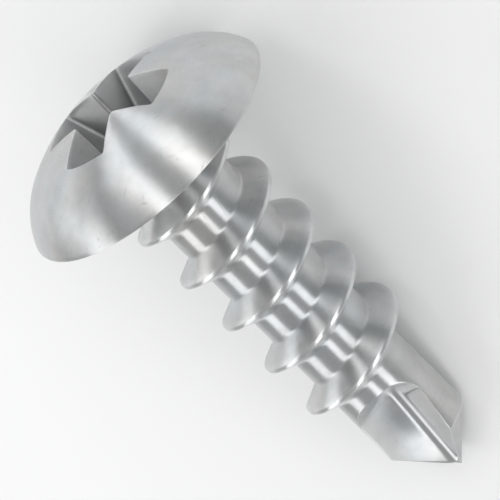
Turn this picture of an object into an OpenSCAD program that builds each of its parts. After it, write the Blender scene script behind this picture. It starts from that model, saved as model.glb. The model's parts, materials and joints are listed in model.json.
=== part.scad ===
// Self drilling screw with a domed truss head, a cross recess, a spaced
// thread and a two fluted drill point, turned and rolled from one blank.
// Millimetres. Each form is built about its own axis, with z = 0 on the
// bearing face under the head and z rising towards the point, and the
// finished screw is then laid on its side as it comes to rest.

/* [Head] */
// Diameter of the head across its rim
head_d = 9.8; // [8:0.1:14]
// Height of the head, from the bearing face to the crown
head_h = 2.4; // [2:0.05:4]
// Height of the upright edge round the rim
rim_edge = 0.08; // [0.04:0.01:0.3]
// Radius of the arc that rounds the dome down to the rim
shoulder_r = 2.65; // [1.6:0.05:3]
// Steepness of the dome where it meets the rim edge, in degrees
rim_slope = 68; // [55:1:75]
// Width left free between the thread's crest and the bearing face
bearing_gap = 0.06; // [0.02:0.01:0.5]
// Length of the fillet that blends the bearing face into the shank
fillet_len = 0.85; // [0.4:0.05:1.2]

/* [Cross recess] */
// Span of the recess across two opposite wings, where they meet the dome
recess_span = 5.2; // [4:0.05:6]
// Depth of the wings below the crown
recess_depth = 2.3; // [1.5:0.05:2.4]
// Width of a wing at the middle of the recess
wing_w = 1.57; // [1:0.01:1.8]
// Width of a wing at its outer end
wing_end_w = 1.8; // [1.2:0.01:2]
// Slope of the wing ends from the axis, in degrees
wing_slope = 26.5; // [15:0.5:30]
// Slope of the floor between the wings, in degrees from level
floor_slope = 28; // [10:1:35]
// Width of the recess at its floor, as a share of its width at the crown
wing_taper = 0.88; // [0.8:0.01:1]

/* [Shank and thread] */
// Length from the bearing face to the point
shank_len = 15.875; // [15.5:0.005:32]
// Diameter of the shank between the threads and of the drill body
root_d = 3.16; // [2.8:0.02:3.6]
// Diameter over the thread's crest
thread_d = 4.78; // [4.2:0.02:5.4]
// Advance of the thread in one turn
pitch = 2.12; // [1.8:0.01:2.6]
// Angle of each thread flank from square to the axis, in degrees
flank_angle = 30; // [22:1:32]
// Width of the flat along the thread's crest
crest_w = 0.14; // [0.08:0.01:0.3]
// Distance from the bearing face to the first of the thread
thread_start = 0.5; // [0.3:0.05:2]
// Distance from the bearing face to the last of the thread
thread_end = 11.2; // [8:0.05:11.25]
// Turn of the screw over which the thread rises from the shank, in degrees
run_in = 100; // [60:10:180]
// Turn of the screw over which the thread fades into the shank, in degrees
run_out = 80; // [60:10:180]
// Bearing about the axis at which the thread stops, from a recess wing
thread_bearing = 229.5; // [0:0.5:359.5]

/* [Drill point] */
// Included angle of the point
point_angle = 80; // [70:1:120]
// Distance from the bearing face to the first of the flutes
flute_start = 11.33; // [11:0.01:12.5]
// Length over which each flute runs in to its full depth
flute_run = 0.76; // [0.4:0.02:1.5]
// Share of a turn that each flute takes out of the drill body, in degrees
flute_sweep = 126; // [100:1:135]
// Thickness of the web left between the two flutes
web_t = 0.5; // [0.4:0.02:1]
// Radius in the hollow of each flute
hollow_r = 0.5; // [0.3:0.05:0.9]
// Turn of the flutes for each millimetre of length, in degrees
flute_twist = 5.9; // [0:0.1:9]
// Bearing about the axis of the cutting edge where a flute reaches full depth
flute_bearing = 14; // [0:1:359]
// How far each end face falls away behind its cutting edge
point_relief = 0.06; // [0.02:0.01:0.12]

/* [Hidden] */

$fn = 120;
thread_steps = 60;
flute_slices = 14;
run_slices = 8;
hollow_steps = 5;
wall_steps = 6;
back_steps = 4;
// Overlap that keeps a joined form or a cut clear of a shared surface
bite = 0.3;
// Overlap of two forms that meet on one plane
lap = 0.001;
// Blank left beyond the point for the end faces to take off
point_stock = 1;
// Depth under the shank's surface from which the thread rises
thread_sink = 0.05;
// Distance from the shank's surface to a flute where its run starts
flute_clear = 0.05;
// Turn of a flute's run from the middle of its sweep, in degrees
run_lean = 9;
// Radius of the under-head fillet as a share of its chord
fillet_share = 0.8;

head_r = head_d / 2;
root_r = root_d / 2;
thread_r = thread_d / 2;
bearing_r = thread_r + bearing_gap;
// Radius that clears the whole shank and its thread
clear_r = thread_r + bite;

// The dome is a shoulder arc through the rim and a crown arc that touches it
shoulder_x = head_r - shoulder_r * sin(rim_slope);
shoulder_z = shoulder_r * cos(rim_slope) - rim_edge;
crown_rise = head_h + shoulder_z;
crown_r = (pow(crown_rise, 2) + pow(shoulder_x, 2) - pow(shoulder_r, 2))
    / (2 * (crown_rise - shoulder_r));
crown_z = crown_r - head_h;
// Direction of the line on which the two arcs meet, from the axis
meet_angle = atan2(shoulder_x, crown_z - shoulder_z);

// The under-head fillet is an arc through the bearing face and the shank
fillet_w = bearing_r - root_r;
fillet_chord = norm([fillet_w, fillet_len]);
fillet_r = fillet_share * fillet_chord;
fillet_back = sqrt(pow(fillet_r, 2) - pow(fillet_chord / 2, 2));
fillet_x = (bearing_r + root_r) / 2 + fillet_back * fillet_len / fillet_chord;
fillet_z = fillet_len / 2 + fillet_back * fillet_w / fillet_chord;

// Radius of the recess where its wings reach their full depth
dome_at_wing = crown_z - sqrt(pow(crown_r, 2) - pow(recess_span / 2, 2));
floor_z = recess_depth - head_h;
floor_r = recess_span / 2 - (floor_z - dome_at_wing) * tan(wing_slope);
floor_drop = floor_r * tan(floor_slope);

// The thread's flanks carry on into the shank, to join it along its length
thread_h = thread_r - root_r;
thread_turns = (thread_end - thread_start) / pitch;
thread_rings = ceil(thread_turns * thread_steps);

// A flute's hollow lies between a radial cutting face and a heel that
// touches the web
half_web = web_t / 2;
heel_lean = asin(half_web / root_r);
heel_bearing = flute_sweep - heel_lean;
hollow_angle = 180 - heel_bearing;
// Where the two walls would meet, along the cutting face
corner_r = half_web / sin(heel_bearing);
tangent_len = hollow_r * tan(hollow_angle / 2);
flute_full = flute_start + flute_run;
flute_rise = root_r - half_web + flute_clear;
flute_mid = flute_sweep / 2 - run_lean;
tip_twist = flute_twist * (shank_len - flute_full);

// The cone of each end face comes to a tip just beyond the point
cone_tip = shank_len + point_relief / tan(point_angle / 2);
cone_len = clear_r / tan(point_angle / 2);

// Laid on its side, the screw rolls until a flute faces down, where its point
// can sink the furthest
lean_z = cone_tip - root_r / tan(point_angle / 2);
lean_bearing = flute_bearing + 180 + flute_twist * (lean_z - flute_full);
down_bearing = lean_bearing + flute_mid;

// It stands on the rim of its head and on the last whole crest of its thread
// on the down side, or on the corner where the drill body meets the point
crest_turn = (thread_bearing - down_bearing - run_out + 3 * 360) % 360 + run_out;
crest_z = thread_end - pitch * crest_turn / 360 + crest_w / 2;
crest_tilt = atan((head_r - thread_r) / crest_z);
lean_tilt = atan((head_r - root_r * cos(flute_mid)) / lean_z);
rest_tilt = min(crest_tilt, lean_tilt, atan(head_r / shank_len));
rest_min = rest_tilt < meet_angle
    ? crown_z * cos(rest_tilt) - crown_r
    : shoulder_z * cos(rest_tilt) - shoulder_x * sin(rest_tilt) - shoulder_r;
rest_max = shank_len * cos(rest_tilt);

// A point at a radius and a bearing about the axis
function polar(r, bearing) = [r * cos(bearing), r * sin(bearing)];

// Half profile of the head and the plain shank, from the axis outwards
module blank_profile() {
    difference() {
        intersection() {
            translate([0, crown_z]) circle(r = crown_r);
            translate([0, -head_h - bite]) square([head_r, head_h + bite]);
        }
        difference() {
            polygon([
                [shoulder_x, shoulder_z],
                [shoulder_x, shoulder_z] + crown_r * [sin(meet_angle), -cos(meet_angle)],
                [shoulder_x + crown_r, shoulder_z - crown_r],
                [shoulder_x + crown_r, shoulder_z]
            ]);
            translate([shoulder_x, shoulder_z]) circle(r = shoulder_r);
        }
    }
    translate([0, -bite]) square([root_r, shank_len + point_stock + bite]);
    difference() {
        polygon([[0, -bite], [bearing_r, -bite], [bearing_r, 0], [root_r, fillet_len], [0, fillet_len]]);
        translate([fillet_x, fillet_z]) circle(r = fillet_r);
    }
}

// Head, fillet and shank turned in one piece
module blank() {
    rotate_extrude() blank_profile();
}

// Four tapered wings cut down from the crown, in a cone that closes to a floor
module cross_recess() {
    cut_top = -head_h - bite;
    cut_h = recess_depth + floor_drop + 2 * bite;
    intersection() {
        union() {
            translate([0, 0, cut_top])
                cylinder(
                    h = floor_z - cut_top,
                    r1 = floor_r + (floor_z - cut_top) * tan(wing_slope),
                    r2 = floor_r
                );
            translate([0, 0, floor_z - lap])
                cylinder(h = floor_drop, r1 = floor_r, r2 = 0);
        }
        translate([0, 0, cut_top])
            linear_extrude(height = cut_h, scale = wing_taper)
                for (turn = [0:90:270]) rotate(turn) wing_plan();
    }
}

// Plan of one wing, flared from the middle of the recess to its outer end
module wing_plan() {
    reach = recess_span;
    flare = (wing_end_w - wing_w) / recess_span;
    polygon([
        [0, -wing_w / 2],
        [reach, -wing_w / 2 - flare * reach],
        [reach, wing_w / 2 + flare * reach],
        [0, wing_w / 2]
    ]);
}

// Height of the crest above the shank, as a share, at a turn from the start
function thread_share(turn) =
    let (left = thread_turns * 360 - turn)
    min(1, turn / run_in, left / run_out);

// Section of the thread at a turn from its start
function thread_ring(turn) =
    let (
        z = thread_start + pitch * turn / 360,
        bearing = thread_bearing - thread_turns * 360 + turn,
        crest_r = root_r - thread_sink + (thread_h + thread_sink) * thread_share(turn),
        foot_r = root_r - bite,
        spread = (crest_r - foot_r) * tan(flank_angle) + crest_w / 2,
        foot = polar(foot_r, bearing),
        crest = polar(crest_r, bearing)
    )
    [
        [foot[0], foot[1], z - spread],
        [crest[0], crest[1], z - crest_w / 2],
        [crest[0], crest[1], z + crest_w / 2],
        [foot[0], foot[1], z + spread]
    ];

// Skin of rings that each hold the same number of points, closed at both ends
module ringed_solid(rings) {
    n = len(rings[0]);
    last = len(rings) - 1;
    sides = [
        for (i = [0:last - 1], j = [0:n - 1])
        let (a = i * n + j, b = i * n + (j + 1) % n)
        each [[a, b, b + n], [a, b + n, a + n]]
    ];
    ends = [[for (j = [n - 1:-1:0]) j], [for (j = [0:n - 1]) last * n + j]];
    polyhedron(points = [for (ring = rings) each ring], faces = concat(ends, sides));
}

// Right-hand thread, swept along the shank
module thread() {
    full = thread_turns * 360;
    ringed_solid([for (i = [0:thread_rings]) thread_ring(full * i / thread_rings)]);
}

// Points that divide the way from a to b, b among them
function divided(a, b, steps) = [for (i = [1:steps]) a + (b - a) * i / steps];

// Plan of a flute with its cutting face on bearing 0 and its hollow on
// the side of rising bearings
function flute_plan() =
    let (
        tangent = corner_r + tangent_len,
        centre = [tangent, hollow_r],
        hollow = [
            for (i = [0:hollow_steps])
            let (turn = -90 - hollow_angle * i / hollow_steps)
            centre + hollow_r * [cos(turn), sin(turn)]
        ],
        cut_out = [clear_r, 0],
        heel_in = hollow[hollow_steps],
        heel_out = [corner_r, 0] + clear_r * [cos(heel_bearing), sin(heel_bearing)]
    )
    concat(
        [cut_out],
        divided(cut_out, hollow[0], wall_steps),
        [for (i = [1:hollow_steps]) hollow[i]],
        divided(heel_in, heel_out, wall_steps),
        [for (i = [back_steps - 1:-1:1]) polar(2 * clear_r, i * flute_sweep / back_steps)]
    );

// Height and lift of a flute's section: it starts clear of the shank and
// sinks to full depth along the run, then keeps it past the point
function flute_place(i) =
    i <= run_slices
        ? let (left = 1 - i / run_slices)
            [flute_full - flute_run * (1 - pow(1 - left, 2)), flute_rise * left]
        : [
            flute_full + (shank_len + bite - flute_full) * (i - run_slices) / flute_slices,
            0
        ];

// One flute, wound about the axis with the hand of the thread
module flute() {
    plan = flute_plan();
    ringed_solid([
        for (i = [0:run_slices + flute_slices])
        let (
            place = flute_place(i),
            twist = flute_twist * (place[0] - flute_full),
            lift = place[1] * [cos(flute_mid), sin(flute_mid)]
        )
        [
            for (p = plan)
            let (q = p + lift)
            [
                q[0] * cos(twist) - q[1] * sin(twist),
                q[0] * sin(twist) + q[1] * cos(twist),
                place[0]
            ]
        ]
    ]);
}

// Everything beyond one end face of the point
module beyond_end_face() {
    translate([0, 0, cone_tip - cone_len])
        difference() {
            cylinder(h = cone_len + point_stock + bite, r = thread_r);
            translate([0, point_relief, 0])
                cylinder(h = cone_len, r1 = clear_r, r2 = 0);
        }
}

// Two flutes and two relieved end faces, half a turn apart
module drill_cuts() {
    for (half = [0, 180]) {
        rotate(flute_bearing + half) flute();
        rotate(flute_bearing + tip_twist + half) beyond_end_face();
    }
}

// The screw about its own axis
module upright_screw() {
    difference() {
        union() {
            blank();
            thread();
        }
        cross_recess();
        drill_cuts();
    }
}

// The screw at rest, with the middle of its outline over the origin
module screw() {
    color("silver")
        translate([-(rest_min + rest_max) / 2, 0, head_r * cos(rest_tilt)])
            rotate([0, 90 + rest_tilt, 0])
                rotate([0, 0, -down_bearing])
                    upright_screw();
}

screw();
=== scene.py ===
"""Looks of a self drilling screw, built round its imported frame.

The screw is shaped in millimetres about its own axis, with z = 0 on the
bearing face under the head, z rising towards the point and bearing 0 along a
wing of the recess. It is then laid where the frame's mounts say.
"""

import json
import math
from types import SimpleNamespace

import bmesh
import bpy
from bpy.props import FloatProperty, FloatVectorProperty, PointerProperty
from bpy.types import Operator, Panel, PropertyGroup
from mathutils import Matrix, Vector


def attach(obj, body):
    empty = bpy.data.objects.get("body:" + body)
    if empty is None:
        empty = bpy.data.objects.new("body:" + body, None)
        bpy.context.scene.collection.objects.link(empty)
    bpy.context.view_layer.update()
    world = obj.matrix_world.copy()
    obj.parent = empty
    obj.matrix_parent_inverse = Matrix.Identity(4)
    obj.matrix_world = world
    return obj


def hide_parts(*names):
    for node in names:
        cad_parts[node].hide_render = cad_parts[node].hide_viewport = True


bl_info = {
    "name": "Self Drilling Screw",
    "version": (1, 0, 0),
    "blender": (4, 5, 0),
    "location": "3D View > Sidebar > Screw",
    "description": "Builds a self drilling screw with its steel finish and studio stage",
    "category": "Add Mesh",
}

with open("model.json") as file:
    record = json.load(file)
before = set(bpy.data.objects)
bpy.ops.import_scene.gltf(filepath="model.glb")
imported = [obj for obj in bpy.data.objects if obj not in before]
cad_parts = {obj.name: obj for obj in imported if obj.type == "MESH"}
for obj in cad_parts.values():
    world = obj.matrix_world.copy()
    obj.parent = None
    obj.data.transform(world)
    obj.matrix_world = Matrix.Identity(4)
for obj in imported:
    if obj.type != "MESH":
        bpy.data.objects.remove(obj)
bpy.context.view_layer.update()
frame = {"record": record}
MOUNTS = {mount["name"]: mount for mount in frame["record"]["mounts"]}

MM = 0.001
# Points of the mesh that are closer than this, in millimetres, are one point
WELD = 0.0002

# Columns round the head, in eight like sectors
SECTOR_END, SECTOR_CORNER, SECTOR_SIDE, SECTOR_INNER = 8, 4, 8, 4
SECTOR = SECTOR_END + SECTOR_CORNER + SECTOR_SIDE + SECTOR_INNER
HEAD_COLUMNS = 8 * SECTOR
# Columns across a land and a pocket of the drill point, and round the thread
LAND = 48
POCKET = 40
THREAD_COLUMNS = 2 * LAND

SKIN, RECESS, FLUTE = range(3)
# Half the floor's width and the distance of the lamps, in metres
FLOOR_REACH = 4
LAMP_REACH = 0.15
# Each strip of light: its name, its width and brightness, and the faces of the
# screw that mirror its ends and its bend. A face has its place across the
# picture, from -1 to 1, and its tilt towards the head in degrees.
STRIPS = (
    ("left", 0.34, 1.2, ((-0.55, -22), (-0.56, 25), (-0.48, 58))),
    ("middle", 0.18, 1.5, ((-0.13, -22), (-0.15, 25), (-0.14, 68))),
    ("right", 0.22, 1.4, ((0.13, -22), (0.12, 25), (0.06, 66))),
)
# Faces that meet at more than this angle form an edge
SHARP = math.radians(40)
# Depth from the crest over which it is rubbed bright, in millimetres
CREST_WEAR = 0.12
# Height that the fine marks of the steel stand out or sink, in millimetres
MARK_DEPTH = 0.0015


def size(name, description, default):
    """A length, given in millimetres and held in metres."""
    return FloatProperty(
        name=name, description=description, default=default * MM, min=0, unit="LENGTH", precision=5
    )


def turn(name, description, default):
    """An angle, given in degrees and held in radians."""
    return FloatProperty(
        name=name, description=description, default=math.radians(default), subtype="ANGLE"
    )


def share(name, description, default):
    """A plain number from 0 to 1."""
    return FloatProperty(
        name=name, description=description, default=default, min=0, max=1, subtype="FACTOR"
    )


def colour(name, description, default):
    """A linear colour."""
    return FloatVectorProperty(
        name=name, description=description, default=default, size=3, min=0, max=1, subtype="COLOR"
    )


class HeadSizes(PropertyGroup):
    """Sizes of the domed head and its cross recess."""

    head_d: size("Head diameter", "Diameter of the head across its rim", 9.8)
    head_h: size("Head height", "Height from the bearing face to the crown", 2.4)
    rim_edge: size("Rim edge", "Height of the upright edge round the rim", 0.08)
    rim_round: size("Rim round", "Radius of the edge between rim and bearing face", 0.04)
    shoulder_r: size("Shoulder radius", "Radius of the arc from the dome to the rim", 2.65)
    rim_slope: turn("Rim slope", "Steepness of the dome at the rim edge", 68)
    bearing_gap: size("Bearing gap", "Bearing face clear of the thread's crest", 0.06)
    fillet_len: size("Fillet length", "Length of the fillet under the head", 0.85)
    fillet_share: share("Fillet share", "Radius of that fillet as a share of its chord", 0.8)
    recess_span: size("Recess span", "Span across two opposite wings at the dome", 5.2)
    recess_depth: size("Recess depth", "Depth of the wings below the crown", 2.3)
    wing_w: size("Wing width", "Width of a wing at the middle of the recess", 1.57)
    wing_end_w: size("Wing end width", "Width of a wing at its outer end", 1.8)
    wing_slope: turn("Wing slope", "Slope of the wing ends from the axis", 26.5)
    floor_slope: turn("Floor slope", "Slope of the floor between the wings", 28)
    wing_taper: share("Wing taper", "Width at the floor as a share of that at the crown", 0.88)
    wing_round: size("Wing corner", "Size of the round on a wing's outer corners", 0.1)
    core_round: size("Inner corner", "Size of the round between two wings", 0.16)
    lip_round: size("Recess lip", "Width of the worn lip round the recess", 0.035)


class ThreadSizes(PropertyGroup):
    """Sizes of the shank and its thread."""

    shank_len: size("Length", "Length from the bearing face to the point", 15.875)
    root_d: size("Root diameter", "Diameter between the threads and of the drill", 3.16)
    thread_d: size("Thread diameter", "Diameter over the thread's crest", 4.78)
    pitch: size("Pitch", "Advance of the thread in one turn", 2.12)
    flank_angle: turn("Flank angle", "Angle of a flank from square to the axis", 30)
    crest_w: size("Crest width", "Width of the flat along the crest", 0.14)
    crest_round: size("Crest round", "Length that each edge of the crest gives to its round", 0.035)
    root_round: size("Root round", "Length that each root corner gives to its round", 0.07)
    thread_start: size("Thread start", "Distance to the first of the thread", 0.5)
    thread_end: size("Thread end", "Distance to the last of the thread", 11.2)
    thread_sink: size("Thread sink", "Depth under the shank from which it rises", 0.05)
    run_in: turn("Run in", "Turn over which the thread rises", 100)
    run_out: turn("Run out", "Turn over which the thread fades", 80)
    thread_bearing: turn("Thread bearing", "Bearing at which the thread stops", 229.5)


class PointSizes(PropertyGroup):
    """Sizes of the fluted drill point."""

    point_angle: turn("Point angle", "Included angle of the point", 80)
    flute_start: size("Flute start", "Distance to the first of the flutes", 11.33)
    flute_run: size("Flute run", "Length over which a flute reaches full depth", 0.76)
    flute_sweep: turn("Flute sweep", "Share of a turn that each flute takes out", 126)
    flute_clear: size("Flute clearance", "Distance from the shank where a flute starts", 0.05)
    run_lean: turn("Run lean", "Turn of the run from the middle of the sweep", 9)
    web_t: size("Web", "Thickness left between the flutes", 0.5)
    hollow_r: size("Hollow radius", "Radius in the hollow of a flute", 0.5)
    flute_twist: turn("Flute twist", "Turn of the flutes for each millimetre", 5.9)
    flute_bearing: turn("Flute bearing", "Bearing of the cutting edge at full depth", 14)
    point_relief: size("Relief", "Fall of each end face behind its edge", 0.06)
    edge_round: size("Edge round", "Width of the round on the drill's edges", 0.018)


class Finish(PropertyGroup):
    """Colours of the steel."""

    steel: colour("Steel", "Colour of the plated steel", (0.65, 0.66, 0.67))
    cool: colour("Cool plating", "Colour where the plating is bluish", (0.6, 0.65, 0.67))
    warm: colour("Warm plating", "Colour where the plating is yellowish", (0.7, 0.675, 0.64))
    worn: colour("Worn edges", "Colour of the edges that are rubbed bright", (0.8, 0.81, 0.81))
    recess: colour("Recess", "Colour of the steel inside the recess", (0.7, 0.705, 0.71))
    flute: colour("Flute", "Colour of the formed steel in the flutes", (0.6, 0.61, 0.62))
    polish: share("Roughness", "Roughness of the plated steel", 0.33)
    recess_polish: share("Recess roughness", "Roughness inside the recess", 0.5)
    flute_polish: share("Flute roughness", "Roughness in the flutes", 0.33)


class StageLook(PropertyGroup):
    """The floor, the room and the camera."""

    down_bearing: turn("Down bearing", "Bearing that faces down as the screw lies", 259.644)
    floor: colour("Floor", "Colour of the floor", (0.92, 0.92, 0.92))
    room: colour("Room", "Colour of the light from the room", (0.5, 0.5, 0.5))
    wall: colour("Walls", "Colour of the light from low on the walls", (0.36, 0.38, 0.375))
    view_slope: turn("View slope", "Angle of the view from square to the axis", 22)
    view_width: size("View width", "Width of what the camera sees at the screw", 16.47)
    view_centre: size("View centre", "Distance along the axis to the picture's middle", 5.05)
    view_shift: size("View shift", "Distance from the axis to the picture's middle", 0.03)


class ScrewSettings(PropertyGroup):
    """Everything that a user would change."""

    head: PointerProperty(type=HeadSizes)
    thread: PointerProperty(type=ThreadSizes)
    point: PointerProperty(type=PointSizes)
    finish: PointerProperty(type=Finish)
    stage: PointerProperty(type=StageLook)


def values_of(*groups):
    """The groups' values, with lengths in millimetres and angles in radians."""
    found = {}
    for group in groups:
        for name, prop in group.bl_rna.properties.items():
            if prop.type == "FLOAT":
                value = getattr(group, name)
                found[name] = value / MM if prop.unit == "LENGTH" else value
    return SimpleNamespace(**found)


def polar(radius, bearing, height=0.0):
    """A point from its radius, its bearing and its height on the axis."""
    return Vector((radius * math.cos(bearing), radius * math.sin(bearing), height))


def between(low, high, part):
    """The value or point at a part of the way from low to high."""
    return low + (high - low) * part


class ScrewShape:
    """The screw's surfaces about its own axis, worked out from its sizes."""

    def __init__(self, settings):
        s = self.sizes = values_of(settings.head, settings.thread, settings.point)
        self.head_r = s.head_d / 2
        self.root_r = s.root_d / 2
        self.thread_r = s.thread_d / 2
        self.bearing_r = self.thread_r + s.bearing_gap

        # The dome is a shoulder arc through the rim and a crown arc that touches it
        self.shoulder_x = self.head_r - s.shoulder_r * math.sin(s.rim_slope)
        self.shoulder_z = s.shoulder_r * math.cos(s.rim_slope) - s.rim_edge
        rise = s.head_h + self.shoulder_z
        self.crown_r = (rise**2 + self.shoulder_x**2 - s.shoulder_r**2) / (
            2 * (rise - s.shoulder_r)
        )
        self.crown_z = self.crown_r - s.head_h
        self.meet_angle = math.atan2(self.shoulder_x, self.crown_z - self.shoulder_z)

        # The fillet under the head is an arc through the bearing face and the shank
        wide = self.bearing_r - self.root_r
        chord = math.hypot(wide, s.fillet_len)
        self.fillet_r = s.fillet_share * chord
        back = math.sqrt(self.fillet_r**2 - (chord / 2) ** 2)
        self.fillet_x = (self.bearing_r + self.root_r) / 2 + back * s.fillet_len / chord
        self.fillet_z = s.fillet_len / 2 + back * wide / chord

        # The recess is a cross of tapered wings inside a cone with a conical floor
        self.floor_z = s.recess_depth - s.head_h
        span = s.recess_span / 2
        self.floor_r = span - (self.floor_z - self.dome_height(span)) * math.tan(s.wing_slope)
        self.floor_drop = self.floor_r * math.tan(s.floor_slope)
        # Ring on the dome where the recess's own grid gives way to plain columns
        self.ring_r = (s.recess_span + s.head_d) / 5

        # A flute's hollow touches the web and the cutting face
        self.half_web = s.web_t / 2
        heel_lean = math.asin(self.half_web / self.root_r)
        self.heel_bearing = s.flute_sweep - heel_lean
        self.hollow_turn = math.pi - self.heel_bearing
        self.corner_r = self.half_web / math.sin(self.heel_bearing)
        self.tangent_r = self.corner_r + s.hollow_r * math.tan(self.hollow_turn / 2)
        self.flute_full = s.flute_start + s.flute_run
        self.flute_rise = self.root_r - self.half_web + s.flute_clear
        self.cone_tip = s.shank_len + s.point_relief / math.tan(s.point_angle / 2)

    def dome_height(self, radius):
        """Height of the crown's arc at a radius."""
        return self.crown_z - math.sqrt(self.crown_r**2 - radius**2)

    def floor_height(self, radius):
        """Height of the recess floor at a radius."""
        return self.floor_z + (self.floor_r - radius) * math.tan(self.sizes.floor_slope)

    def fillet_radius(self, height):
        """Radius of the fillet under the head at a height, or of the shank past it."""
        if height >= self.sizes.fillet_len:
            return self.root_r
        off = max(height, 0) - self.fillet_z
        return self.fillet_x - math.sqrt(self.fillet_r**2 - off**2)

    def cone_height(self, x, y):
        """Height of the relieved end faces over a point of the section."""
        s = self.sizes
        lip = s.flute_bearing + s.flute_twist * (s.shank_len - self.flute_full)
        off = s.point_relief * Vector((-math.sin(lip), math.cos(lip)))
        reach = max((Vector((x, y)) - off).length, (Vector((x, y)) + off).length)
        return self.cone_tip - reach / math.tan(s.point_angle / 2)


def add_patch(bm, columns, rows, place, material=SKIN):
    """Bends a flat grid to a surface: place gives the point of a column and a row."""
    before = set(bm.faces)
    grid = bmesh.ops.create_grid(bm, x_segments=columns, y_segments=rows, size=0.5)
    for face in set(bm.faces) - before:
        column = int((face.calc_center_median().x + 0.5) * columns)
        face.material_index = material(column) if callable(material) else material
    for vert in grid["verts"]:
        column = round((vert.co.x + 0.5) * columns)
        row = round((vert.co.y + 0.5) * rows)
        vert.co = place(column, row)


def recess_sector(shape, end_r, height_at):
    """Outline of the recess from the middle of a wing's end to the next diagonal."""
    s = shape.sizes
    top = -s.head_h
    fall = (1 - s.wing_taper) / (s.recess_depth + shape.floor_drop)
    flare = (s.wing_end_w - s.wing_w) / s.recess_span

    def side(x, y=0.0):
        for _ in range(5):
            narrowed = 1 - fall * (height_at(math.hypot(x, y)) - top)
            y = narrowed * s.wing_w / 2 + flare * x
        return Vector((x, y, 0))

    corner_y = side(end_r).y
    corner_bearing = math.asin(corner_y / end_r)
    corner = polar(end_r, corner_bearing)
    inner_x = s.wing_w / 2
    for _ in range(8):
        inner_x = side(inner_x, inner_x).y
    inner = Vector((inner_x, inner_x, 0))

    arc_stop = corner_bearing - s.wing_round / end_r
    side_in = side(corner.x - s.wing_round)
    side_out = side(inner_x + s.core_round)
    across = side_out.yxz

    def rounded(start, control, stop, part):
        return between(between(start, control, part), between(control, stop, part), part)

    points = [polar(end_r, arc_stop * i / SECTOR_END) for i in range(SECTOR_END)]
    points += [
        rounded(polar(end_r, arc_stop), corner, side_in, i / SECTOR_CORNER)
        for i in range(SECTOR_CORNER)
    ]
    points += [
        side(between(side_in.x, side_out.x, i / SECTOR_SIDE)) for i in range(SECTOR_SIDE)
    ]
    points += [
        rounded(side_out, inner, across, i / SECTOR_INNER / 2) for i in range(SECTOR_INNER + 1)
    ]
    for point in points:
        point.z = height_at(math.hypot(point.x, point.y))
    return points


def recess_outline(shape, end_r, height_at):
    """Closed outline of the recess, from the middle of one wing's end round to it again."""
    sector = recess_sector(shape, end_r, height_at)
    quarter = sector[:-1] + [Vector((p.y, p.x, p.z)) for p in reversed(sector)][:-1]
    points = []
    for step in range(4):
        spin = Matrix.Rotation(step * math.pi / 2, 3, "Z")
        points += [spin @ point for point in quarter]
    return points + [points[0]]


def add_recess(bm, shape):
    """Floor and walls of the recess, and the dome from its lip to a plain ring."""
    s = shape.sizes
    lip = recess_outline(shape, s.recess_span / 2, shape.dome_height)
    foot = recess_outline(shape, shape.floor_r, shape.floor_height)
    floor_rows, wall_rows, dome_rows = 8, 10, 10

    def floor_point(column, row):
        point = foot[column] * (row / floor_rows)
        point.z = shape.floor_height(math.hypot(point.x, point.y))
        return point

    def wall_point(column, row):
        return between(foot[column], lip[column], row / wall_rows)

    def dome_point(column, row):
        rim = polar(shape.ring_r, math.tau * column / HEAD_COLUMNS)
        point = between(lip[column], rim, row / dome_rows)
        point.z = shape.dome_height(math.hypot(point.x, point.y))
        return point

    add_patch(bm, HEAD_COLUMNS, floor_rows, floor_point, RECESS)
    add_patch(bm, HEAD_COLUMNS, wall_rows, wall_point, RECESS)
    add_patch(bm, HEAD_COLUMNS, dome_rows, dome_point)


def arc(x, z, radius, first, last, steps):
    """Points of a half profile along an arc. Its angles are taken from the head's side."""
    angles = [between(first, last, i / steps) for i in range(steps + 1)]
    return [(x + radius * math.sin(angle), z - radius * math.cos(angle)) for angle in angles]


def head_profile(shape, neck_z):
    """Half profile of the head from the recess's ring on its dome to the neck."""
    s = shape.sizes
    quarter = math.pi / 2
    start = math.asin(shape.ring_r / shape.crown_r)
    points = arc(0, shape.crown_z, shape.crown_r, start, shape.meet_angle, 8)[:-1]
    points += arc(
        shape.shoulder_x, shape.shoulder_z, s.shoulder_r, shape.meet_angle, s.rim_slope, 16
    )
    rim_x = shape.head_r - s.rim_round
    points += arc(rim_x, -s.rim_round, s.rim_round, quarter, math.pi, 5)
    points += [(between(rim_x, shape.bearing_r, i / 8), 0) for i in range(1, 8)]
    first = math.atan2(-shape.fillet_z, shape.bearing_r - shape.fillet_x)
    neck_r = shape.fillet_radius(neck_z)
    last = math.atan2(neck_z - shape.fillet_z, neck_r - shape.fillet_x)
    return points + arc(
        shape.fillet_x, shape.fillet_z, shape.fillet_r, first + quarter, last + quarter, 8
    )


def add_profile(bm, points):
    """A chain of edges through points of a half profile, each a radius and a height."""
    verts = [bm.verts.new((radius, 0, height)) for radius, height in points]
    edges = [bm.edges.new(pair) for pair in zip(verts, verts[1:])]
    return verts, edges


def add_head(bm, shape, neck_z):
    """Outer dome, rim, bearing face and neck, spun from their profile."""
    verts, edges = add_profile(bm, head_profile(shape, neck_z))
    bmesh.ops.spin(
        bm, geom=verts + edges, cent=(0, 0, 0), axis=(0, 0, 1),
        angle=math.tau, steps=HEAD_COLUMNS, use_merge=True,
    )


def thread_height(shape, angle):
    """Height of the crest above the shank at a turn from the thread's start."""
    s = shape.sizes
    left = (s.thread_end - s.thread_start) / s.pitch * math.tau - angle
    part = max(0, min(1, angle / s.run_in, left / s.run_out))
    full = shape.thread_r - shape.root_r
    return max(0, between(-s.thread_sink, full, part)) / full


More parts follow.
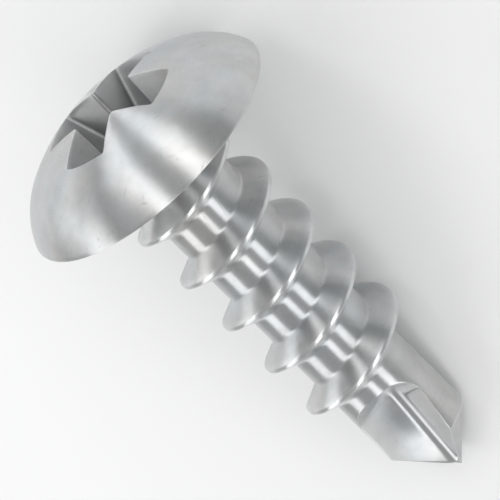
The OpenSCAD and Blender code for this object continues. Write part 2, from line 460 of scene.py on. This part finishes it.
def thread_mesh(shape, start_bearing, neck_z, end_plane):
    """One pitch of the thread, wound along the shank and cut off at both ends."""
    s = shape.sizes
    bm = bmesh.new()
    offset = bm.verts.layers.float.new("offset")
    worn = bm.verts.layers.float.new("worn")
    full = shape.thread_r - shape.root_r
    crest = s.crest_w / 2
    foot = crest + full * math.tan(s.flank_angle)
    half = s.pitch / 2
    verts, _ = add_profile(bm, [
        (shape.root_r, -half), (shape.root_r, -foot), (shape.thread_r, -crest),
        (shape.thread_r, crest), (shape.root_r, foot), (shape.root_r, half),
    ])
    for corners, width in (((verts[1], verts[4]), s.root_round), (verts[2:4], s.crest_round)):
        bmesh.ops.bevel(
            bm, geom=list(corners), affect="VERTICES", offset=width, segments=4,
            profile=0.5, material=-1,
        )
    straight = [edge for edge in bm.edges if edge.calc_length() > 3 * s.root_round]
    bmesh.ops.subdivide_edges(bm, edges=straight, cuts=3)
    for vert in bm.verts:
        vert[offset] = vert.co.z

    # The first turn starts at the nearest column of the drill's own grid
    turns = (s.thread_end - s.thread_start) / s.pitch
    column = math.tau / THREAD_COLUMNS
    before = round((s.thread_bearing - turns * math.tau - 0.8 * math.tau - start_bearing) / column)
    first = start_bearing + before * column
    lag = s.thread_bearing - turns * math.tau - first
    start_z = s.thread_start - s.pitch * lag / math.tau
    bmesh.ops.translate(bm, verts=bm.verts[:], vec=(0, 0, start_z))
    bmesh.ops.rotate(bm, verts=bm.verts[:], cent=(0, 0, 0), matrix=Matrix.Rotation(first, 3, "Z"))
    bmesh.ops.spin(
        bm, geom=bm.verts[:] + bm.edges[:], cent=(0, 0, 0), axis=(0, 0, 1),
        dvec=(0, 0, s.pitch / THREAD_COLUMNS), angle=math.tau, steps=THREAD_COLUMNS,
    )
    one_turn = bm.verts[:] + bm.edges[:] + bm.faces[:]
    for number in range(1, math.ceil(turns + 1.6)):
        copy = bmesh.ops.duplicate(bm, geom=one_turn)["geom"]
        verts = [item for item in copy if isinstance(item, bmesh.types.BMVert)]
        bmesh.ops.translate(bm, verts=verts, vec=(0, 0, s.pitch * number))

    # The crest sinks into the shank at both ends, and joins the fillet at the neck
    for vert in bm.verts:
        angle = (vert.co.z - vert[offset] - s.thread_start) / s.pitch * math.tau
        part = thread_height(shape, angle)
        rise = (vert.co.xy.length - shape.root_r) * part
        radius = shape.root_r + rise
        shift = abs(vert[offset])
        low = crest + (foot - crest) * part
        if shift > foot:
            moved = half - (half - shift) * (half - low) / (half - foot)
        elif shift > crest:
            moved = crest + (shift - crest) * part
        else:
            moved = shift
        height = vert.co.z - vert[offset] + math.copysign(moved, vert[offset])
        fillet = shape.fillet_radius(height)
        soft = 0.1 * rise / full * max(0, 1 - height / (2 * s.fillet_len))
        gap = radius - fillet
        radius = (radius + fillet + math.hypot(gap, soft)) / 2
        vert.co = polar(radius, math.atan2(vert.co.y, vert.co.x), height)
        vert[worn] = max(0, 1 - (full - radius + shape.root_r) / CREST_WEAR) * part
    bmesh.ops.remove_doubles(bm, verts=bm.verts[:], dist=WELD)
    for point, normal in ((Vector((0, 0, neck_z)), Vector((0, 0, -1))), end_plane):
        bmesh.ops.bisect_plane(
            bm, geom=bm.verts[:] + bm.edges[:] + bm.faces[:], dist=WELD,
            plane_co=point, plane_no=normal, clear_outer=True,
        )
    return bm


def flute_section(shape, lift):
    """Inside of a lifted flute's section, from the cutting face's edge to the heel's."""
    s = shape.sizes
    outer = 2 * shape.thread_r
    hollow = Vector((shape.tangent_r, s.hollow_r, 0))
    line = [Vector((between(outer, shape.tangent_r, i / 60), 0, 0)) for i in range(60)]
    line += [
        hollow + polar(s.hollow_r, -math.pi / 2 - shape.hollow_turn * i / 40) for i in range(41)
    ]
    heel = line[-1]
    line += [heel + polar(outer * i / 60, shape.heel_bearing) for i in range(1, 61)]
    lifted = polar(lift, s.flute_sweep / 2 - s.run_lean)
    line = [point + lifted for point in line]

    inside = []
    for here, ahead in zip(line, line[1:]):
        gaps = here.length - shape.root_r, ahead.length - shape.root_r
        if gaps[0] < 0 or gaps[1] < 0:
            if gaps[0] < 0:
                inside.append(here)
            if gaps[0] * gaps[1] < 0:
                inside.append(between(here, ahead, gaps[0] / (gaps[0] - gaps[1])))
    if len(inside) < 2:
        return None
    lengths = [0.0]
    for here, ahead in zip(inside, inside[1:]):
        lengths.append(lengths[-1] + (ahead - here).length)
    points, at = [], 0
    for i in range(POCKET + 1):
        want = lengths[-1] * i / POCKET
        while at < len(lengths) - 2 and lengths[at + 1] < want:
            at += 1
        step = lengths[at + 1] - lengths[at]
        points.append(between(inside[at], inside[at + 1], (want - lengths[at]) / step))
    for end in (0, POCKET):
        points[end] = points[end].normalized() * shape.root_r
    return points


class DrillGrid:
    """Rings of points down the drill body, with two lands and two pockets in each."""

    RUN_ROWS = 48
    FULL_ROWS = 24
    # End of the run and softness of its bend, and how strongly rows crowd there
    RUN_OVER = 1.5
    RUN_SOFT = 0.15
    BEND_SHARE = 0.35
    # The ring clears the thread's end: its rise, its turn from pocket A and its gap
    TAIL_RISE = 0.12
    TAIL_TURN = math.radians(110)
    RING_GAP = 0.1
    COLUMNS = 2 * (LAND + POCKET)

    def __init__(self, shape):
        self.shape = shape
        s = shape.sizes
        self.first = next(
            i / 1000 for i in range(1000) if flute_section(shape, self.lift(i / 1000))
        )
        self.apex = self.height(self.first)
        self.parts = [self.part(row) for row in range(self.RUN_ROWS + 1)]
        self.run = [
            self.ring_plan(flute_section(shape, self.lift(part))) for part in self.parts[1:]
        ]
        top = flute_section(shape, self.lift(self.first))[POCKET // 2]
        self.run.insert(0, self.ring_plan([top.normalized() * shape.root_r] * (POCKET + 1)))
        self.apex_bearing = (
            s.flute_bearing + self.twist(self.apex) + math.atan2(top.y, top.x)
        )
        # The thread ends on the land that follows pocket A
        self.tail_bearing = self.apex_bearing + self.TAIL_TURN

    def crowding(self, part):
        """Rises fastest where rows crowd together: at the flute's start and its bend."""
        left = 1 - part
        bent = 1 - left / math.hypot(left, self.RUN_SOFT)
        started = math.sqrt((part - self.first) / (self.RUN_OVER - self.first))
        return started + self.BEND_SHARE * bent

    def part(self, row):
        """How far along the run a row lies, found by halving."""
        low, high = self.first, self.RUN_OVER
        want = self.crowding(high) * row / self.RUN_ROWS
        for _ in range(40):
            middle = (low + high) / 2
            if self.crowding(middle) < want:
                low = middle
            else:
                high = middle
        return high

    def lift(self, part):
        """Distance of the flute from its full depth, easing off at the end of the run."""

        def eased(left):
            return (left + math.hypot(left, self.RUN_SOFT)) / 2

        return self.shape.flute_rise * (eased(1 - part) - eased(1 - self.RUN_OVER))

    def height(self, part):
        """Height of a part of the run."""
        s = self.shape.sizes
        return s.flute_start + s.flute_run * part**2

    def twist(self, height):
        """Turn of the section at a height."""
        return self.shape.sizes.flute_twist * (height - self.shape.flute_full)

    def ring_plan(self, pocket):
        """Closed ring of a section, from one pocket round both lands."""
        root_r = self.shape.root_r
        cut = math.atan2(pocket[0].y, pocket[0].x) % math.tau
        heel = math.atan2(pocket[-1].y, pocket[-1].x) % math.tau
        if heel < cut:
            cut -= math.tau
        land = [
            polar(root_r, between(heel, cut + math.pi, i / LAND)) for i in range(1, LAND)
        ]
        half = pocket + land
        ring = half + [Vector((-p.x, -p.y, 0)) for p in half]
        return ring + [ring[0]]

    def placed(self, point, height):
        """A point of the section where it stands at a height."""
        spin = Matrix.Rotation(self.shape.sizes.flute_bearing + self.twist(height), 3, "Z")
        moved = spin @ point
        moved.z = height
        return moved

    def tail(self, point):
        """Rise of the thread's tail under a point of the shank."""
        bearing = math.atan2(point.y, point.x)
        return self.TAIL_RISE * math.cos(bearing - self.tail_bearing)

    def run_point(self, column, row):
        """A point of the run. Row 0 is the ring that meets the thread."""
        step = max(row - 1, 0)
        point = self.placed(self.run[step][column], self.height(self.parts[step]))
        low = self.apex - self.RING_GAP + self.tail(point)
        if row == 0:
            point.z = low
        elif not self.in_pocket(column):
            # Away from the pockets the rows spread out above the ring
            top = self.height(self.RUN_OVER)
            left = 1 - row / (self.RUN_ROWS + 1)
            risen = point.z - self.apex + self.RING_GAP * (1 - left**2)
            level = between(low, top, risen / (top - self.apex + self.RING_GAP))
            point.z = between(point.z, level, self.middle(column))
        return point

    def in_pocket(self, column):
        """Whether a column lies in a pocket or on its rim."""
        return column % (LAND + POCKET) <= POCKET

    def middle(self, column):
        """How far a column of a land is from both rims, from 0 to 1."""
        over = (column % (LAND + POCKET) - POCKET) / LAND
        return min(1, 4 * over, 4 * (1 - over))

    def end_height(self, point):
        """Height at which a column of the full section reaches the end faces."""
        height = self.shape.sizes.shank_len
        for _ in range(6):
            here = self.placed(point, height)
            height = self.shape.cone_height(here.x, here.y)
        return height

    def full_point(self, column, row):
        """A point of the full section, down to the end faces."""
        point = self.run[-1][column]
        start = self.height(self.RUN_OVER)
        height = between(start, self.end_height(point), row / self.FULL_ROWS)
        return self.placed(point, height)

    def end_point(self, column):
        """Where a column meets the end faces."""
        return self.full_point(column % self.COLUMNS, self.FULL_ROWS)


def add_drill(bm, shape, grid):
    """Run of the flutes, fluted body, two end faces and the tip."""

    def finish_of(column):
        return FLUTE if column % (LAND + POCKET) < POCKET else SKIN

    add_patch(bm, grid.COLUMNS, grid.RUN_ROWS + 1, grid.run_point, finish_of)
    add_patch(bm, grid.COLUMNS, grid.FULL_ROWS, grid.full_point, finish_of)

    def on_cone(point):
        return Vector((point.x, point.y, shape.cone_height(point.x, point.y)))

    rows = POCKET // 2

    def end_face(half):
        heel = half * (LAND + POCKET) + POCKET
        cut = heel + LAND

        def point_at(column, row):
            if row == 0:
                return grid.end_point(heel + column)
            left, right = grid.end_point(heel - row), grid.end_point(cut + row)
            if column in (0, LAND):
                return left if column == 0 else right
            low = math.atan2(left.y, left.x)
            high = math.atan2(right.y, right.x)
            high += math.tau * math.ceil((low - high) / math.tau)
            part = column / LAND
            radius = between(left.xy.length, right.xy.length, part)
            return on_cone(polar(radius, between(low, high, part)))

        return point_at

    faces = [end_face(0), end_face(1)]
    for face in faces:
        add_patch(bm, LAND, rows, face, FLUTE)

    tip_rows = 8

    def tip_point(column, row):
        half, step = divmod(column % (2 * LAND), LAND)
        ring = faces[half](step, rows)
        return on_cone(ring * (1 - row / tip_rows)) if row else ring

    add_patch(bm, 2 * LAND, tip_rows, tip_point, FLUTE)


def boundary_near(bm, distance_of):
    """Open edges whose ends both lie on a surface, given by a distance from it."""
    return [
        edge for edge in bm.edges
        if edge.is_boundary and all(abs(distance_of(vert.co)) < 0.01 for vert in edge.verts)
    ]


def screw_mesh(settings):
    """The whole screw about its own axis, in millimetres."""
    shape = ScrewShape(settings)
    grid = DrillGrid(shape)
    neck_z, neck_band = 0.3, 0.1
    slope = grid.TAIL_RISE / shape.root_r
    lean = polar(slope, grid.tail_bearing)
    end_co = Vector((0, 0, grid.apex - grid.RING_GAP * 4 / 3))
    end_no = Vector((-lean.x, -lean.y, 1)).normalized()

    bm = thread_mesh(shape, grid.apex_bearing, neck_z, (end_co, end_no))
    add_head(bm, shape, neck_z - neck_band)
    add_recess(bm, shape)
    add_drill(bm, shape, grid)
    bmesh.ops.remove_doubles(bm, verts=bm.verts[:], dist=WELD)

    def off_neck(height):
        return lambda co: co.z - height

    def off_end(gap):
        return lambda co: (co - end_co).dot(end_no) - gap * end_no.z

    for pair in (
        (off_neck(neck_z), off_neck(neck_z - neck_band)),
        (off_end(0), off_end(grid.RING_GAP / 3)),
    ):
        loops = [edge for side in pair for edge in boundary_near(bm, side)]
        bmesh.ops.bridge_loops(bm, edges=loops)
    bmesh.ops.recalc_face_normals(bm, faces=bm.faces[:])
    round_edges(bm, shape)
    return bm


def round_edges(bm, shape):
    """Takes the sharpness off the recess's lip and the drill's edges, and marks them worn."""
    s = shape.sizes
    worn = bm.verts.layers.float["worn"]

    def sharp(low, high):
        return [
            edge for edge in bm.edges
            if low < edge.verts[0].co.z < high and edge.is_manifold and edge.is_convex
            and edge.calc_face_angle() > SHARP
        ]

    lip = sharp(-s.head_h, -s.rim_edge)
    drill = sharp(s.flute_start, 2 * s.shank_len)
    for edges, width in ((lip, s.lip_round), (drill, s.edge_round)):
        made = bmesh.ops.bevel(
            bm, geom=edges, affect="EDGES", offset=width, segments=2, profile=0.5,
            material=-1, clamp_overlap=True,
        )
        for vert in made["verts"]:
            vert[worn] = 1


def new_object(context, name, bm):
    """Object in the scene that takes over a finished mesh."""
    mesh = bpy.data.meshes.new(name)
    bm.to_mesh(mesh)
    bm.free()
    made = bpy.data.objects.new(name, mesh)
    context.collection.objects.link(made)
    return made


def new_material(name):
    """Material with nodes, and its shader."""
    material = bpy.data.materials.new(name)
    material.use_nodes = True
    return material, material.node_tree.nodes["Principled BSDF"]


def laid_frame(settings):
    """Matrix from the screw's own axis, in millimetres, to where it lies."""
    axis = Vector(MOUNTS["bearing_face"]["axis"]).normalized()
    crown = Vector(MOUNTS["cross_recess"]["pos_m"])
    origin = crown + axis * settings.head.head_h
    side = Vector((0, 1, 0))
    down = side.cross(axis)
    roll = settings.stage.down_bearing
    first = math.cos(roll) * down - math.sin(roll) * side
    second = math.sin(roll) * down + math.cos(roll) * side
    turned = Matrix((first, second, axis)).transposed().to_4x4()
    return Matrix.Translation(origin) @ turned @ Matrix.Scale(MM, 4)


def put(tree, kind, inputs=None, **options):
    """Adds a node with its options, and its inputs as values or as sockets to link."""
    node = tree.nodes.new(kind)
    for name, value in options.items():
        setattr(node, name, value)
    for key, value in (inputs or {}).items():
        if isinstance(value, bpy.types.NodeSocket):
            tree.links.new(value, node.inputs[key])
        else:
            node.inputs[key].default_value = value
    return node


def new_group(name, inputs, outputs):
    """An empty node group with its sockets, and the sockets that its nodes link to."""
    group = bpy.data.node_groups.new(name, "ShaderNodeTree")
    for way, sockets in (("INPUT", inputs), ("OUTPUT", outputs)):
        for socket, kind in sockets.items():
            group.interface.new_socket(socket, in_out=way, socket_type="NodeSocket" + kind)
    given = group.nodes.new("NodeGroupInput").outputs
    wanted = group.nodes.new("NodeGroupOutput").inputs
    return group, given, wanted


def use_group(tree, group, inputs):
    """Places a node group in a tree and returns its outputs."""
    return put(tree, "ShaderNodeGroup", inputs, node_tree=group).outputs


def reckon(tree, operation, first, second):
    """Result of a Math node."""
    return put(tree, "ShaderNodeMath", {0: first, 1: second}, operation=operation).outputs[0]


def spread(tree, value, low, high, to_low=0.0, to_high=1.0):
    """Result of a Map Range node."""
    node = put(
        tree, "ShaderNodeMapRange",
        {"Value": value, "From Min": low, "From Max": high, "To Min": to_low, "To Max": to_high},
    )
    return node.outputs["Result"]


def blend(tree, factor, first, second, kind="MIX"):
    """Result of a Mix node for colours."""
    node = put(
        tree, "ShaderNodeMix", {0: factor, 6: first, 7: second}, data_type="RGBA", blend_type=kind
    )
    return node.outputs[2]


def noise(tree, vector, scale, detail=2.0):
    """Value of a Noise texture."""
    node = put(
        tree, "ShaderNodeTexNoise", {"Vector": vector, "Scale": scale, "Detail": detail}
    )
    return node.outputs["Fac"]


def stretched(tree, vector, factors):
    """A vector scaled along each axis."""
    node = put(tree, "ShaderNodeVectorMath", {0: vector, 1: factors}, operation="MULTIPLY")
    return node.outputs[0]


def plating_tone():
    """Group: plating that drifts between two tints of steel, with faint clouds in it."""
    group, given, wanted = new_group(
        "plating_tone",
        {"Vector": "Vector", "Steel": "Color", "Cool": "Color", "Warm": "Color",
         "Drift": "Float", "Clouding": "Float"},
        {"Colour": "Color"},
    )
    slow = noise(group, stretched(group, given["Vector"], (1, 1, 0.35)), 0.55)
    tint = blend(group, spread(group, slow, 0.35, 0.65), given["Cool"], given["Warm"])
    toned = blend(group, given["Drift"], given["Steel"], tint)
    clouds = spread(group, noise(group, given["Vector"], 2.4, 6), 0.35, 0.7)
    shade = reckon(group, "SUBTRACT", 1, reckon(group, "MULTIPLY", clouds, given["Clouding"]))
    group.links.new(blend(group, 1, toned, shade, "MULTIPLY"), wanted["Colour"])
    return group


def tumbling_marks():
    """Group: fine scratches, small dents and an uneven skin from tumbling."""
    group, given, wanted = new_group(
        "tumbling_marks",
        {"Vector": "Vector", "Scratches": "Float", "Dents": "Float"},
        {"Dullness": "Float", "Height": "Float"},
    )
    lines = 0.0
    for lean in ((0.2, 0.1, 0.3), (1.1, 0.4, 1.9), (2.0, 0.9, 0.7)):
        turned = put(
            group, "ShaderNodeMapping", {"Vector": given["Vector"], "Rotation": lean}
        ).outputs[0]
        streak = noise(group, stretched(group, turned, (1, 1, 0.07)), 9, 3)
        lines = reckon(group, "MAXIMUM", spread(group, streak, 0.66, 0.74), lines)
    lines = reckon(group, "MULTIPLY", lines, given["Scratches"])
    dent = put(
        group, "ShaderNodeTexVoronoi",
        {"Vector": given["Vector"], "Scale": 1.6, "Smoothness": 0.3}, feature="SMOOTH_F1",
    ).outputs["Distance"]
    dents = reckon(group, "MULTIPLY", spread(group, dent, 0.03, 0.16), given["Dents"])
    skin = reckon(group, "MULTIPLY", noise(group, given["Vector"], 4, 2), 0.2)
    height = reckon(group, "SUBTRACT", reckon(group, "ADD", skin, dents), lines)
    group.links.new(height, wanted["Height"])
    cloudy = spread(group, noise(group, given["Vector"], 1.6, 5), 0.35, 0.7, 0, 0.5)
    group.links.new(reckon(group, "ADD", lines, cloudy), wanted["Dullness"])
    return group


def rolled_lines():
    """Group: faint lines round the axis, from turning the blank and rolling its thread."""
    group, given, wanted = new_group(
        "rolled_lines", {"Vector": "Vector", "Fineness": "Float"},
        {"Height": "Float", "Shade": "Float"},
    )
    parts = put(group, "ShaderNodeSeparateXYZ", {0: given["Vector"]}).outputs
    flat = stretched(group, given["Vector"], (1, 1, 0))
    radius = put(group, "ShaderNodeVectorMath", {0: flat}, operation="LENGTH").outputs["Value"]
    along = reckon(group, "MULTIPLY", reckon(group, "ADD", parts["Z"], radius), given["Fineness"])
    broken = reckon(group, "MULTIPLY", noise(group, given["Vector"], 0.8), 0.6)
    line = put(group, "ShaderNodeCombineXYZ", {"Z": reckon(group, "ADD", along, broken)}).outputs[0]
    coarse, fine = noise(group, line, 1, 2), noise(group, line, 3.7, 1)
    faded = spread(group, noise(group, given["Vector"], 1.1, 3), 0.35, 0.65, 0.3, 1)
    shade = reckon(group, "MULTIPLY", spread(group, fine, 0.3, 0.7), faded)
    group.links.new(shade, wanted["Shade"])
    height = reckon(group, "ADD", coarse, reckon(group, "MULTIPLY", fine, 0.4))
    group.links.new(height, wanted["Height"])
    return group


def worn_edge():
    """Group: edges that handling has rubbed brighter, here more and there less."""
    group, given, wanted = new_group(
        "worn_edge", {"Vector": "Vector", "Worn": "Float"}, {"Mask": "Float"}
    )
    patchy = spread(group, noise(group, given["Vector"], 3, 3), 0.3, 0.65, 0.35, 1)
    group.links.new(reckon(group, "MULTIPLY", given["Worn"], patchy), wanted["Mask"])
    return group


def steel_material(name, groups, look, laid, base, roughness, turned):
    """Plated steel with its own tone, marks and worn edges."""
    material, shader = new_material(name)
    tree = material.node_tree
    shader.inputs["Metallic"].default_value = 1

    place, turn_of, _ = laid.decompose()
    seen = put(tree, "ShaderNodeTexCoord").outputs["Object"]
    spot = put(
        tree, "ShaderNodeMapping",
        {"Vector": seen, "Location": place, "Rotation": turn_of.to_euler(), "Scale": (MM, MM, MM)},
        vector_type="TEXTURE",
    ).outputs[0]
    worn = put(tree, "ShaderNodeAttribute", attribute_name="worn").outputs["Fac"]

    mask = use_group(tree, groups["worn_edge"], {"Vector": spot, "Worn": worn})["Mask"]
    tone = use_group(tree, groups["plating_tone"], {
        "Vector": spot, "Steel": (*base, 1), "Cool": (*look.cool, 1), "Warm": (*look.warm, 1),
        "Drift": 0.4, "Clouding": 0.07,
    })["Colour"]
    marks = use_group(tree, groups["tumbling_marks"], {
        "Vector": spot, "Scratches": 0.6, "Dents": 0.5,
    })
    lines = use_group(tree, groups["rolled_lines"], {"Vector": spot, "Fineness": 6})

    struck = spread(tree, lines["Shade"], 0, 1, 1, 1 - 0.12 * turned)
    scored = spread(tree, marks["Dullness"], 0.5, 1, 1, 0.8)
    tone = blend(tree, 1, tone, reckon(tree, "MULTIPLY", struck, scored), "MULTIPLY")
    bright = blend(tree, reckon(tree, "MULTIPLY", mask, 0.6), tone, (*look.worn, 1))
    tree.links.new(bright, shader.inputs["Base Color"])
    dull = reckon(tree, "MULTIPLY_ADD", marks["Dullness"], 0.1)
    dull.node.inputs[2].default_value = roughness
    rubbed = reckon(tree, "SUBTRACT", dull, reckon(tree, "MULTIPLY", mask, 0.06))
    tree.links.new(rubbed, shader.inputs["Roughness"])
    height = reckon(tree, "ADD", marks["Height"], reckon(tree, "MULTIPLY", lines["Height"], turned))
    bump = put(tree, "ShaderNodeBump", {"Distance": MARK_DEPTH * MM, "Height": height})
    tree.links.new(bump.outputs[0], shader.inputs["Normal"])

    # The lines round the axis draw each highlight out along it
    axis = laid.to_3x3().normalized().col[2]
    middle = put(tree, "ShaderNodeVectorMath", {0: seen, 1: place}, operation="SUBTRACT").outputs[0]
    around = put(tree, "ShaderNodeVectorMath", {0: axis, 1: middle}, operation="CROSS_PRODUCT")
    tree.links.new(around.outputs[0], shader.inputs["Tangent"])
    shader.inputs["Anisotropic"].default_value = 1
    shader.inputs["Anisotropic Rotation"].default_value = 0.25
    return material


class SCREW_OT_body(Operator):
    """Builds the screw with its steel finish in place of the plain solid"""

    bl_idname = "screw.body"
    bl_label = "Screw"

    def execute(self, context):
        settings = context.scene.screw_settings
        laid = laid_frame(settings)
        bm = screw_mesh(settings)
        bm.transform(laid)
        for edge in bm.edges:
            edge.smooth = not edge.is_manifold or edge.calc_face_angle() < SHARP
        for face in bm.faces:
            face.smooth = True
        piece = new_object(context, "screw_body", bm)

        look = settings.finish
        makers = (plating_tone, tumbling_marks, rolled_lines, worn_edge)
        groups = {make.__name__: make() for make in makers}
        for name, base, roughness, turned in (
            ("plated_steel", look.steel, look.polish, 1),
            ("recess_steel", look.recess, look.recess_polish, 0),
            ("flute_steel", look.flute, look.flute_polish, 0.3),
        ):
            piece.data.materials.append(
                steel_material(name, groups, look, laid, base, roughness, turned)
            )
        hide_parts("screw")
        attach(piece, "root")
        return {"FINISHED"}


class StudioView:
    """Directions of the picture: across, along and back from the screw."""

    def __init__(self, settings):
        look = settings.stage
        laid = laid_frame(settings)
        turned = laid.to_3x3().normalized()
        axis = turned.col[2]
        facing = turned @ polar(1, math.pi / 4)
        slope = look.view_slope
        self.axis, self.facing = axis, facing
        self.across = turned @ polar(1, -math.pi / 4)
        self.back = math.cos(slope) * facing - math.sin(slope) * axis
        self.along = math.cos(slope) * axis + math.sin(slope) * facing
        centre = laid @ Vector((0, 0, look.view_centre / MM))
        self.target = centre + look.view_shift * self.across

    def mirrored(self, place, tilt):
        """Direction that the camera sees mirrored in one face of the screw."""
        bearing = math.asin(place / math.cos(tilt))
        level = math.cos(bearing) * self.facing + math.sin(bearing) * self.across
        face = math.cos(tilt) * level - math.sin(tilt) * self.axis
        return -self.back.reflect(face)


def add_floor(context, colour):
    """Plain pale floor."""
    bm = bmesh.new()
    bmesh.ops.create_grid(bm, x_segments=1, y_segments=1, size=FLOOR_REACH)
    floor = new_object(context, "floor", bm)
    paper, shader = new_material("floor_paper")
    shader.inputs["Base Color"].default_value = (*colour, 1)
    shader.inputs["Roughness"].default_value = 0.25
    shader.inputs["Specular IOR Level"].default_value = 1
    floor.data.materials.append(paper)


def add_room(context, look):
    """Soft light of a room whose walls are darker low down."""
    world = bpy.data.worlds.new("room")
    world.use_nodes = True
    tree = world.node_tree
    direction = put(tree, "ShaderNodeTexCoord").outputs["Generated"]
    rise = put(tree, "ShaderNodeSeparateXYZ", {0: direction}).outputs["Z"]
    high = put(
        tree, "ShaderNodeMapRange", {"Value": rise, "From Min": 0, "From Max": 0.6},
        interpolation_type="SMOOTHSTEP",
    ).outputs["Result"]
    light = blend(tree, high, (*look.wall, 1), (*look.room, 1))
    tree.links.new(light, tree.nodes["Background"].inputs["Color"])
    context.scene.world = world


def add_strip(context, view, name, start, end, width, glow):
    """Long soft lamp between two directions from the screw."""
    length = LAMP_REACH * (end - start).length
    middle = (start + end) / 2
    wide = LAMP_REACH * width
    lamp = bpy.data.lights.new(name, "AREA")
    lamp.shape = "RECTANGLE"
    lamp.size, lamp.size_y = length, wide
    lamp.energy = glow * math.pi * length * wide
    long = (end - start).normalized()
    back = middle.normalized()
    turned = Matrix((long, back.cross(long), back)).transposed()
    ob = bpy.data.objects.new(name, lamp)
    ob.matrix_world = Matrix.Translation(view.target + LAMP_REACH * middle) @ turned.to_4x4()
    ob.visible_camera = False
    context.collection.objects.link(ob)


def add_lamps(context, view):
    """Strips whose reflections run along the shank, and on over the head."""
    for name, width, glow, faces in STRIPS:
        ends = [view.mirrored(place, math.radians(tilt)) for place, tilt in faces]
        add_strip(context, view, name + "_shank", *ends[:2], width, glow)
        add_strip(context, view, name + "_head", *ends[1:], width, glow)


def add_camera(context, view, look):
    """Long camera at the photograph's angle."""
    data = bpy.data.cameras.new("camera")
    data.lens = 600
    data.sensor_width = 36
    distance = look.view_width * data.lens / data.sensor_width
    right = (view.along + view.across).normalized()
    up = (view.across - view.along).normalized()
    data.clip_start = distance / 100
    data.clip_end = distance * 100
    camera = bpy.data.objects.new("camera", data)
    camera.matrix_world = Matrix.Translation(view.target + view.back * distance) @ Matrix(
        (right, up, view.back)
    ).transposed().to_4x4()
    context.collection.objects.link(camera)
    context.scene.camera = camera
    context.scene.view_settings.view_transform = "Standard"


class SCREW_OT_stage(Operator):
    """Sets up the floor, the light and the camera"""

    bl_idname = "screw.stage"
    bl_label = "Stage"

    def execute(self, context):
        settings = context.scene.screw_settings
        look = settings.stage
        view = StudioView(settings)
        add_floor(context, look.floor)
        add_room(context, look)
        add_lamps(context, view)
        add_camera(context, view, look)
        return {"FINISHED"}


class SCREW_PT_panel(Panel):
    """Lists the pieces of the screw and their settings"""

    bl_label = "Self drilling screw"
    bl_idname = "SCREW_PT_panel"
    bl_space_type = "VIEW_3D"
    bl_region_type = "UI"
    bl_category = "Screw"

    def draw(self, context):
        layout = self.layout
        settings = context.scene.screw_settings
        for operator in OPERATORS:
            layout.operator(operator.bl_idname)
        for group in ("head", "thread", "point", "finish", "stage"):
            box = layout.box()
            box.label(text=group.capitalize())
            values = getattr(settings, group)
            for name in values.__annotations__:
                box.prop(values, name)


OPERATORS = (SCREW_OT_body, SCREW_OT_stage)
CLASSES = (
    HeadSizes, ThreadSizes, PointSizes, Finish, StageLook, ScrewSettings,
    *OPERATORS, SCREW_PT_panel,
)


def register():
    """Registers the settings, the operators and the panel."""
    for cls in CLASSES:
        bpy.utils.register_class(cls)
    bpy.types.Scene.screw_settings = PointerProperty(type=ScrewSettings)


def unregister():
    """Takes the settings, the operators and the panel away again."""
    del bpy.types.Scene.screw_settings
    for cls in reversed(CLASSES):
        bpy.utils.unregister_class(cls)


def main():
    """Builds the screw on its stage."""
    register()
    bpy.ops.screw.body()
    bpy.ops.screw.stage()


if __name__ == "__main__":
    main()
